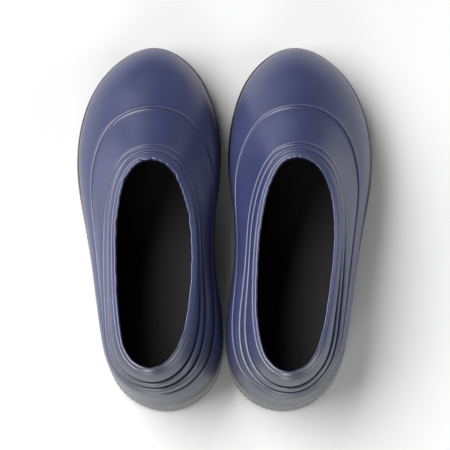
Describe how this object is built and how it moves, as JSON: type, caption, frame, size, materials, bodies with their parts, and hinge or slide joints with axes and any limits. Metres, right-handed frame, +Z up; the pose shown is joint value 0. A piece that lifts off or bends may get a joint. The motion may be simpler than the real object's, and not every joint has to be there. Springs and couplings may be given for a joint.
{
  "type": "deck boots",
  "caption": "Pair of low slip-on rubber deck boots with long ankle openings, moulded lines round the upper, ribbed foxing and a treaded sole.",
  "frame": {"origin": "on the ground, in the middle of the standing pair", "axes": "+Y towards the toes, +X to the wearer's right, +Z up"},
  "size_m": [0.2278, 0.285, 0.0933],
  "materials": {
    "navy_rubber": "satin",
    "black_rubber": "satin",
    "knit_lining": "knit",
    "foam": "matt foam",
    "cork": "granular",
    "fibreboard": "matt",
    "stiffener": "matt",
    "spring_steel": "rolled"
  },
  "bodies": {
    "left_boot": {"left_outsole": "black_rubber", "left_foxing_strip": "black_rubber", "left_bottom_filler": "cork", "left_shank": "spring_steel", "left_insole_board": "fibreboard", "left_upper": "navy_rubber", "left_toe_puff": "stiffener", "left_heel_counter": "stiffener", "left_lining": "knit_lining", "left_collar_binding": "navy_rubber"},
    "left_footbed": {"left_footbed": "foam", "left_footbed_cover": "knit_lining"},
    "right_boot": {"right_outsole": "black_rubber", "right_foxing_strip": "black_rubber", "right_bottom_filler": "cork", "right_shank": "spring_steel", "right_insole_board": "fibreboard", "right_upper": "navy_rubber", "right_toe_puff": "stiffener", "right_heel_counter": "stiffener", "right_lining": "knit_lining", "right_collar_binding": "navy_rubber"},
    "right_footbed": {"right_footbed": "foam", "right_footbed_cover": "knit_lining"}
  },
  "joints": [
    {"name": "left_footbed_lift", "type": "hinge", "parent": "left_boot", "child": "left_footbed", "pos_m": [-0.0545, 0.1315, 0.0139], "axis": [-0.9994, -0.0349, 0], "range_deg": [0, 4]},
    {"name": "right_boot_lift", "type": "slide", "parent": "left_boot", "child": "right_boot", "axis": [0, 0, 1], "range_m": [0, 0.25]},
    {"name": "right_footbed_lift", "type": "hinge", "parent": "right_boot", "child": "right_footbed", "pos_m": [0.0545, 0.1315, 0.0139], "axis": [-0.9994, 0.0349, 0], "range_deg": [0, 4]}
  ]
}
